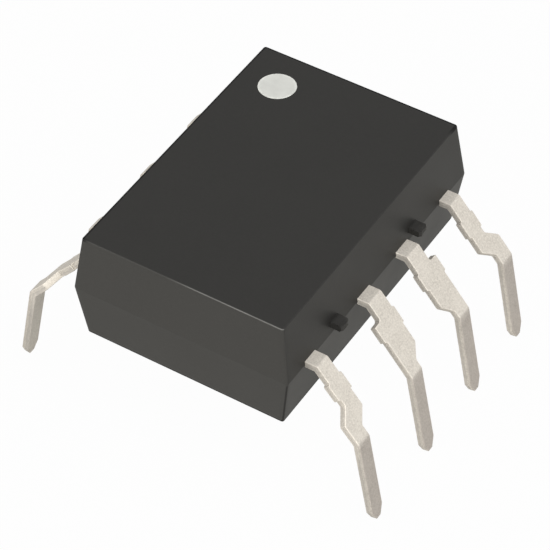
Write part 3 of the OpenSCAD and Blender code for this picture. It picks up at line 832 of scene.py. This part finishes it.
class COUPLER_OT_case(bpy.types.Operator):
    """Make the moulded case with its rounded edges, resin tabs, lead slots and inner pocket"""

    bl_idname = "coupler.build_case"
    bl_label = "Case"

    def execute(self, context):
        case, sheet = context.scene.coupler_case, context.scene.coupler_sheet
        finish = context.scene.coupler_finish
        height = sheet_middle(sheet)
        walls = (case.parting / MM, case.side_draft, case.end_draft)
        pocket_edge, clear_of_wall = 0.07, 0.002 * MM
        shell = mesh_of(moulding(
            case.half_width / MM, case.half_length / MM,
            (CASE_HIGH.z - height) / MM, (height - CASE_LOW.z) / MM, *walls,
            case.edge_radius / MM, case.corner_radius / MM), "shell")
        pocket = mesh_of(moulding(
            GUIDE_HIGH.x / MM, GUIDE_HIGH.y / MM,
            (GUIDE_HIGH.z - height) / MM, (height - GUIDE_LOW.z) / MM, *walls,
            pocket_edge, pocket_edge), "pocket")
        leads = bmesh.new()
        for number, lead in enumerate(LEADS, 1):
            net = merged_copy(lead)
            set_aside(net, sheet, number, MM)
            take_in(leads, mesh_of(net, lead))
        bmesh.ops.translate(leads, vec=(0, 0, -height / MM), verts=leads.verts)
        for other, operation in ((tab_mesh(case), "UNION"), (pocket, "DIFFERENCE"),
                                 (mesh_of(leads, "leads"), "DIFFERENCE"),
                                 (dimple_mesh(case, height), "DIFFERENCE")):
            shell = combine(shell, other, operation)
        shell.transform(Matrix.Translation((0, 0, height)) @ Matrix.Scale(MM, 4))
        mark_edges(shell, case, height)
        broken = resin_finish(
            "broken_resin", finish.broken, [c * 1.6 for c in finish.broken],
            fine=9000.0, relief=0.8, rough=0.62)
        shell.materials.clear()
        shell.materials.append(case_finish(finish, case, height))
        shell.materials.append(broken.material)
        for face in shell.polygons:
            face.material_index = int(abs(face.center.x) > case.half_width + clear_of_wall)
        shell = smooth(shell, 30, height - case.parting, height + case.parting)
        finish_piece("case_moulding", shell, "case_resin", "outer_case")
        return {"FINISHED"}


class COUPLER_OT_dot(bpy.types.Operator):
    """Make the printed index dot, a thin disc with a soft rim"""

    bl_idname = "coupler.build_dot"
    bl_label = "Index dot"

    def execute(self, context):
        case, top = context.scene.coupler_case, DOT_HIGH.z
        # Each row has its radius, its height and how worn its edge is
        rows = [(DOT_RADIUS, DOT_LOW.z, 0.0), (DOT_RADIUS, top - case.dot_rim, 1.0)]
        rows += [(DOT_RADIUS - inset, top - drop, 1.0)
                 for inset, drop in round_over(case.dot_rim, (30, 60, 90))]
        rows += [(DOT_RADIUS * part, top, edge) for part, edge in ((0.93, 0.9), (0.84, 0.15), (0.4, 0.0))]
        angles = [2 * math.pi * k / DOT_SIDES for k in range(DOT_SIDES)]
        rings = [[Vector((r * math.cos(angle), r * math.sin(angle), z)) for angle in angles]
                 for r, z, _ in rows]
        mesh = mesh_of(stack(rings, edge=[edge for _, _, edge in rows]), "printed_dot")
        mesh.transform(dot_place(case))
        mesh.materials.append(ink_finish(context.scene.coupler_finish))
        finish_piece("printed_dot", smooth(mesh, 40), "dot_ink", "index_dot")
        return {"FINISHED"}


# ------------------------ the leads

def sheet_bend(name):
    """Geometry group that bends flat stock, its outer face at z 0, down about a line across it."""
    net, start, end = new_group(
        name, "GeometryNodeTree",
        {"Position": "Vector", "Place": 0.0, "Angle": 0.5, "Outer radius": 0.09 * MM},
        {"Position": "Vector"})
    along, width, depth = net.parts(start["Position"])
    radius, angle = start["Outer radius"], start["Angle"]
    half_tangent = net.maths("TANGENT", net.times(angle, 0.5))
    reach = net.times(radius, half_tangent)
    twice = net.times(reach, 2.0)
    first = net.minus(start["Place"], reach)
    past = net.minus(along, first)
    turn = net.times(net.maths("DIVIDE", past, twice, clamp=True), angle)
    height = net.plus(radius, depth)
    arm, deep = net.most(height, 0.0), net.maths("MINIMUM", height, 0.0)
    # Below the centre of the bend the stock meets in a mitre
    mitre = net.times(deep, half_tangent)
    before = net.maths("MINIMUM", past, mitre)
    after = net.most(net.minus(past, twice), net.times(mitre, -1.0))
    beyond = net.maths("GREATER_THAN", past, reach)
    sine, cosine = net.maths("SINE", angle), net.maths("COSINE", angle)
    after_x = net.maths("MULTIPLY_ADD", after, cosine, net.times(deep, sine))
    after_z = net.minus(net.times(deep, cosine), net.times(after, sine))
    side_x = net.maths("MULTIPLY_ADD", beyond, net.minus(after_x, before), before)
    side_z = net.maths("MULTIPLY_ADD", beyond, net.minus(after_z, deep), deep)
    x = net.plus(first, net.maths("MULTIPLY_ADD", arm, net.maths("SINE", turn), side_x))
    z = net.minus(net.maths("MULTIPLY_ADD", arm, net.maths("COSINE", turn), side_z), radius)
    net.give(end["Position"], net.add("ShaderNodeCombineXYZ", {"X": x, "Y": width, "Z": z}).outputs[0])
    return net.tree


def form_lead(name):
    """Geometry Nodes that form a stamped blank into a lead and put it in its row."""
    net, start, end = new_group(
        name, "GeometryNodeTree",
        {"Geometry": "Geometry", "Slope length": 2.3 * MM, "Slope angle": 0.87, "Pin angle": 0.5,
         "Outer radius": 0.09 * MM, "Place": "Vector", "Row": "Vector", "Mirrored": "Bool",
         "Material": "Material"},
        {"Geometry": "Geometry"})

    def then(shape, kind, **ins):
        node = net.add("GeometryNode" + kind, {"Geometry": shape})
        for label, value in ins.items():
            net.give(node.inputs[label], value)
        return node.outputs[0]

    where = net.add("GeometryNodeInputPosition").outputs[0]
    for place, angle in ((start["Slope length"], start["Pin angle"]), (0.0, start["Slope angle"])):
        where = net.group(sheet_bend, Position=where, Place=place, Angle=angle,
                          Outer_radius=start["Outer radius"])[0]
    shape = then(start["Geometry"], "SetPosition", Position=where)
    shape = then(shape, "MergeByDistance", Distance=2e-7)
    shape = then(shape, "Transform", Translation=start["Place"])
    shape = then(shape, "Transform", Scale=start["Row"])
    turned = net.add("GeometryNodeFlipFaces", {"Mesh": shape}).outputs[0]
    shape = net.add("GeometryNodeSwitch", {
        "Switch": start["Mirrored"], "False": shape, "True": turned}, input_type="GEOMETRY").outputs[0]
    shape = then(shape, "RealizeInstances")
    net.give(end["Geometry"], then(shape, "SetMaterial", Material=start["Material"]))
    return net.tree


def bends_of(sheet):
    """Length of the slope between the two bends, and the angles of the upper and the lower bend."""
    run = sheet.lower_bend - sheet.upper_bend
    slope = math.atan2(sheet.slope_drop, run)
    return math.hypot(run, sheet.slope_drop), slope, math.pi / 2 - sheet.pin_splay - slope


def lead_outline(sheet, corner):
    """Stamped outline of a lead on the +Y side, as (distance from the upper bend, y, radius) corners."""
    reach, _, _ = bends_of(sheet)
    burr, stamp, stub = sheet.burr_radius, sheet.stamp_radius, sheet.dam_stub
    dam_start, dam_end = sheet.dam_start, sheet.dam_start + sheet.dam_width
    start = sheet.seam - sheet.upper_bend
    neck = sheet.corner_neck if corner else sheet.middle_neck
    neck_y = sheet.corner_neck_y if corner else sheet.middle_neck_y
    pin_y = sheet.pitch * (1.5 if corner else 0.5)
    inner, outer = neck_y - neck / 2, neck_y + neck / 2
    pin_inner, pin_outer = pin_y - sheet.pin_width / 2, pin_y + sheet.pin_width / 2
    jog = reach - (sheet.corner_jog_gap if corner else sheet.middle_jog_gap)
    tip = reach + sheet.pin_length
    tip_half = sheet.pin_width / 2 - sheet.tip_narrowing
    near = [(start, inner, 0), (dam_start, inner, burr), (dam_start, inner - stub, burr),
            (dam_end, inner - stub, burr), (dam_end, inner, burr),
            (jog - sheet.jog_run, inner, stamp), (jog, pin_inner, stamp)]
    point = [(tip - sheet.tip_taper, pin_inner, burr), (tip, pin_y - tip_half, burr),
             (tip, pin_y + tip_half, burr), (tip - sheet.tip_taper, pin_outer, burr)]
    if corner:
        back = jog - sheet.jog_lead
        far = [(back, pin_outer, stamp), (back - sheet.jog_run, outer, stamp), (dam_end, outer, burr),
               (dam_end, outer + stub, burr), (dam_start, outer + stub, burr), (dam_start, outer, burr)]
    else:
        far = [(dam_end, pin_outer, burr), (dam_end, pin_outer + stub, burr),
               (dam_start, pin_outer + stub, burr), (dam_start, outer, stamp)]
    return [*near, *point, *far, (start, outer, 0)]


def lead_blank(sheet, corner):
    """Flat stamped blank: rolled edges on its outer face, a crisp burr below, cut where it will bend."""
    outline = rounded(lead_outline(sheet, corner))
    roll, thick, burr = sheet.rollover, sheet.thickness, 0.01 * MM
    below_roll, beside_roll = 0.012 * MM, 0.009 * MM
    # Each row has its inset from the outline, its height and how worn its edge is
    rows = [(burr, -thick, 0.0), (0.0, burr - thick, 0.7), (0.0, -0.5 * thick, 0.0),
            (0.0, -roll - below_roll, 0.0)]
    rows += [(inset, -drop, 1.0) for inset, drop in round_over(roll, (0, 30, 60, 90))]
    rows.append((roll + beside_roll, 0.0, 0.0))
    rings = [[Vector((*point, z)) for point in shrunk(outline, inset)] for inset, z, _ in rows]
    blank = stack(rings, edge=[edge for _, _, edge in rows], depth=[-z / thick for _, z, _ in rows])
    reach, slope, pin_turn = bends_of(sheet)
    for place, angle, steps in ((0.0, slope, 10), (reach, pin_turn, 8)):
        half = sheet.bend_radius * math.tan(angle / 2)
        for k in range(steps + 1):
            cut_across(blank, place - half + 2 * half * k / steps, 1.0)
    return mesh_of(blank, "blank")


def formed_lead(sheet, blank, number, material):
    """One formed lead as a plain mesh, in the part's frame."""
    reach, slope, pin_turn = bends_of(sheet)
    side, end = side_of(number), -1 if 3 <= number <= 6 else 1
    values = {
        "Slope length": reach, "Slope angle": slope, "Pin angle": pin_turn,
        "Outer radius": sheet.bend_radius, "Place": (sheet.upper_bend, 0.0, SHEET_TOP),
        "Row": (float(side), float(end), 1.0), "Mirrored": side != end, "Material": material,
    }
    source = new_object("blank", blank.copy())
    step = source.modifiers.new("Form", "NODES")
    step.node_group = shared(form_lead)
    for item in step.node_group.interface.items_tree:
        if item.in_out == "INPUT" and item.name in values:
            step[item.identifier] = values[item.name]
    return plain_mesh(f"formed_{number}", source)


def inner_lead(number, seam):
    """The stretch of a CAD lead inside the case wall, closed where it is cut, in metres."""
    side, flat = side_of(number), math.radians(0.5)
    net = merged_copy(LEADS[number - 1])
    bmesh.ops.dissolve_limit(net, angle_limit=flat, verts=net.verts, edges=net.edges)
    cut = cut_across(net, side * seam / MM, MM, side, clear_outer=True)
    bmesh.ops.contextual_create(net, geom=[part for part in cut if isinstance(part, bmesh.types.BMEdge)])
    bmesh.ops.recalc_face_normals(net, faces=net.faces)
    bmesh.ops.scale(net, vec=(MM,) * 3, verts=net.verts)
    return mesh_of(net, "inner")


class COUPLER_OT_leads(bpy.types.Operator):
    """Stamp and form the eight leads, and join each to its stretch inside the case"""

    bl_idname = "coupler.build_leads"
    bl_label = "Leads"

    def execute(self, context):
        sheet = context.scene.coupler_sheet
        material = plate_finish(context.scene.coupler_finish, sheet)
        blanks = {corner: lead_blank(sheet, corner) for corner in (True, False)}
        for number, node in enumerate(LEADS, 1):
            corner = number in {1, 4, 5, 8}
            net = bmesh.new()
            take_in(net, formed_lead(sheet, blanks[corner], number, material))
            take_in(net, inner_lead(number, sheet.seam))
            set_aside(net, sheet, number, 1.0)
            for face in net.faces:
                face.material_index = 0
            mesh = mesh_of(net, f"formed_lead_{number}")
            mesh.materials.append(material)
            finish_piece(f"formed_lead_{number}", smooth(mesh, 32), "plated_lead", node)
        for blank in blanks.values():
            bpy.data.meshes.remove(blank)
        return {"FINISHED"}


# ------------------------ the pieces inside

class COUPLER_OT_inside(bpy.types.Operator):
    """Give the chips, pastes, gel, bond wires and inner moulding their finishes"""

    bl_idname = "coupler.dress_inside"
    bl_label = "Inside"

    def execute(self, context):
        finish = context.scene.coupler_finish
        gold = metal_finish(
            "bond_gold", finish.gold, [c * 0.8 for c in finish.gold], rough=0.28, fine=60000.0)
        paste = metal_finish(
            "silver_paste", (0.6, 0.6, 0.58), (0.34, 0.34, 0.33), rough=0.55, fine=30000.0)
        finishes = {node: gold for node in NODES if node.endswith("_wire")}
        finishes |= {
            "light_guide": guide_finish(finish),
            "emitter_chip": die_finish("emitter_die", (0.3, 0.12, 0.09), (0.42, 0.2, 0.12), 0.16 * MM),
            "detector_chip": die_finish("detector_die", (0.1, 0.12, 0.22), (0.24, 0.3, 0.45), 0.3 * MM),
            "emitter_gel": gel_finish(),
            "emitter_paste": paste,
            "detector_paste": paste,
        }
        for node, material in finishes.items():
            piece = NODES[node]
            if piece.material_slots:
                piece.material_slots[0].material = material
            else:
                piece.data.materials.append(material)
        return {"FINISHED"}


# ------------------------ the stage

FLOOR_HALF = 0.6
FLOOR_GAP = 0.002 * MM
WARM, PLAIN = (1.0, 0.98, 0.94), (1.0, 1.0, 1.0)
# Square lamps aimed at the case: name, place and side in metres, power in watts and tint
LAMPS = (
    ("key_light", (-0.1, -0.3, 0.1), 0.3, 0.65, WARM),
    ("front_light", (0.1, -0.3, 0.15), 0.3, 0.25, WARM),
    ("side_light", (0.2, -0.02, 0.24), 0.35, 0.82, PLAIN),
    ("top_light", (0.0, 0.0, 0.35), 0.3, 0.2, PLAIN),
)


def white_share(net, mirrored):
    """How white a ray finds the backdrop: fully where it is seen, and by a share where it is mirrored.
    Also returns the test for a mirrored ray."""
    rays = net.add("ShaderNodeLightPath").outputs
    seen = net.most(rays["Is Camera Ray"], rays["Is Transmission Ray"])
    return net.most(seen, net.times(rays["Is Glossy Ray"], mirrored)), rays["Is Glossy Ray"]


def stage_material(stage):
    """Pale floor that keeps a soft shadow, lifted towards white where it is seen or mirrored."""
    material = bpy.data.materials.new("pale_floor")
    material.use_nodes = True
    net = Net(material.node_tree)
    net.tree.nodes.remove(net.tree.nodes["Principled BSDF"])
    seen, mirrored = white_share(net, 0.75)
    lift = net.times(seen, 0.975)
    plain = net.add("ShaderNodeBsdfDiffuse", {"Color": rgb(stage.floor)})
    tint = net.blend(mirrored, rgb(stage.white), rgb((1.0, 0.985, 0.93)))
    glow = net.add("ShaderNodeEmission", {"Color": tint, "Strength": 1.0})
    mixed = net.add("ShaderNodeMixShader", {0: lift, 1: plain.outputs[0], 2: glow.outputs[0]})
    net.give(net.tree.nodes["Material Output"].inputs["Surface"], mixed.outputs[0])
    return material


def world_tent(stage):
    """A light tent: an even, dim glow on the object, and white where it is seen."""
    world = bpy.data.worlds.new("light_tent")
    world.use_nodes = True
    net = Net(world.node_tree)
    net.tree.nodes.clear()
    seen, _ = white_share(net, 0.4)
    strength = net.maths("MULTIPLY_ADD", seen, 1.0 - stage.glow, stage.glow)
    sky = net.add("ShaderNodeBackground", {"Color": rgb(stage.white), "Strength": strength})
    net.add("ShaderNodeOutputWorld", {"Surface": sky.outputs[0]})
    return world


def aim(name, data, place, back):
    """Adds a lamp or camera at a place, looking against a direction."""
    holder = new_object(name, data)
    holder.location = place
    holder.rotation_euler = (-back).to_track_quat("-Z", "Y").to_euler()
    return holder


class COUPLER_OT_stage(bpy.types.Operator):
    """Make the pale floor, the soft studio light and the camera"""

    bl_idname = "coupler.build_stage"
    bl_label = "Stage"

    def execute(self, context):
        scene, stage = context.scene, context.scene.coupler_stage
        net = bmesh.new()
        bmesh.ops.create_grid(net, x_segments=1, y_segments=1, size=FLOOR_HALF)
        bmesh.ops.translate(net, vec=(0, 0, CAD_BOX[0].z - FLOOR_GAP), verts=net.verts)
        floor = new_object("floor", mesh_of(net, "floor"))
        floor.data.materials.append(stage_material(stage))
        scene.world = world_tent(stage)
        for name, place, size, power, tint in LAMPS:
            lamp = bpy.data.lights.new(name, "AREA")
            lamp.shape, lamp.size, lamp.energy, lamp.color = "SQUARE", size, power, tint
            aim(name, lamp, place, Vector(place) - Vector((0, 0, SHEET_TOP)))

        level = math.cos(stage.elevation)
        back = Vector((math.sin(stage.azimuth) * level, -math.cos(stage.azimuth) * level,
                       math.sin(stage.elevation)))
        right = Vector((math.cos(stage.azimuth), math.sin(stage.azimuth), 0))
        target = Vector((0, 0, sheet_middle(scene.coupler_sheet)))
        target += right * stage.aim_right - back.cross(right) * stage.aim_down
        camera = bpy.data.cameras.new("camera")
        camera.lens, camera.sensor_width = stage.lens, 36.0
        camera.clip_start, camera.clip_end = 0.002, 5.0
        scene.camera = aim("camera", camera, target + back * stage.distance, back)
        scene.view_settings.view_transform = "Standard"
        return {"FINISHED"}


class COUPLER_PT_panel(bpy.types.Panel):
    """Lists the steps that dress the optocoupler"""

    bl_label = "Optocoupler"
    bl_idname = "COUPLER_PT_panel"
    bl_space_type = "VIEW_3D"
    bl_region_type = "UI"
    bl_category = "Coupler"

    def draw(self, context):
        for step in STEPS:
            self.layout.operator(step.bl_idname)
        for name in SETTINGS:
            group = getattr(context.scene, name)
            box = self.layout.box()
            for key in group.bl_rna.properties.keys():
                if key not in {"rna_type", "name"}:
                    box.prop(group, key)


STEPS = (COUPLER_OT_case, COUPLER_OT_dot, COUPLER_OT_leads, COUPLER_OT_inside, COUPLER_OT_stage)


def register():
    for made in (*SETTINGS.values(), *STEPS, COUPLER_PT_panel):
        bpy.utils.register_class(made)
    for name, group in SETTINGS.items():
        setattr(bpy.types.Scene, name, PointerProperty(type=group))


def unregister():
    for name in SETTINGS:
        delattr(bpy.types.Scene, name)
    for made in reversed((*SETTINGS.values(), *STEPS, COUPLER_PT_panel)):
        bpy.utils.unregister_class(made)


def main():
    register()
    for step in STEPS:
        family, action = step.bl_idname.split(".")
        getattr(getattr(bpy.ops, family), action)()


if __name__ == "__main__":
    main()
